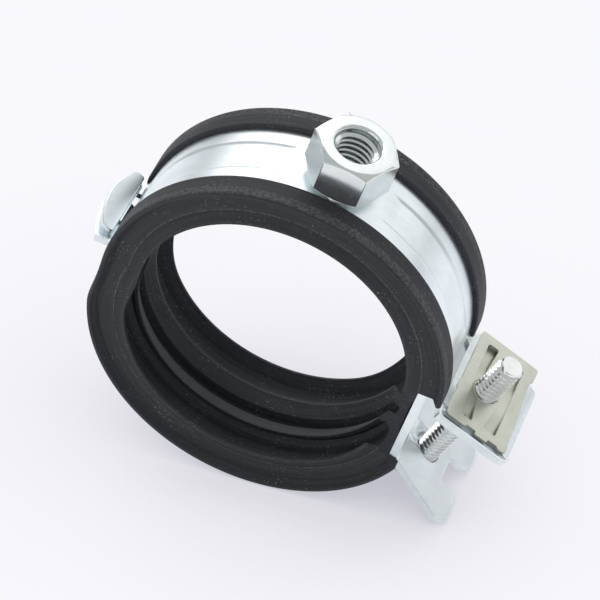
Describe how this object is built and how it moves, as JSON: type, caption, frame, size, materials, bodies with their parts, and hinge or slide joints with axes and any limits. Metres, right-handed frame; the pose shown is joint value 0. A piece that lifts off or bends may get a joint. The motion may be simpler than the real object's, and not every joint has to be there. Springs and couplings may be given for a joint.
{
  "type": "rubber lined pipe clamp",
  "caption": "Hinged zinc-plated pipe clamp with a black rubber lining, a welded M10 hexagon nut and a quick-lock screw closure, shown slightly open.",
  "frame": {"origin": "centre of the pipe seat, midway along the pipe", "axes": "+Y along the pipe, +Z out through the welded nut, +X towards the screw closure, hinge at -X"},
  "size_m": [0.1063, 0.0304, 0.0995],
  "materials": {
    "zinc_steel": "bright zinc plating, bluish white",
    "black_rubber": "matt black moulded rubber with fine pale dust",
    "nut_zinc": "bright zinc plating over turned and forged steel",
    "nickel_plate": "satin spring steel, warm grey plating",
    "screw_zinc": "bright zinc plating on rolled thread"
  },
  "bodies": {
    "upper_half": {"upper_band": "zinc_steel", "upper_liner": "black_rubber", "connection_nut": "nut_zinc", "spring_plate": "nickel_plate"},
    "lower_half": {"lower_band": "zinc_steel", "lower_liner": "black_rubber"},
    "screw": {"closing_screw": "screw_zinc"}
  },
  "joints": [
    {"name": "lower_half_hinge", "type": "hinge", "parent": "upper_half", "child": "lower_half", "pos_m": [-0.0422, 0, 0.00015], "axis": [0, 1, 0], "range_deg": [-11, 35], "deforming": ["spring_plate"]},
    {"name": "screw_turn", "type": "hinge", "parent": "lower_half", "child": "screw", "pos_m": [0.04291, 0, -0.02647], "axis": [0.2019, -0.0364, 0.9787], "continuous": true}
  ]
}
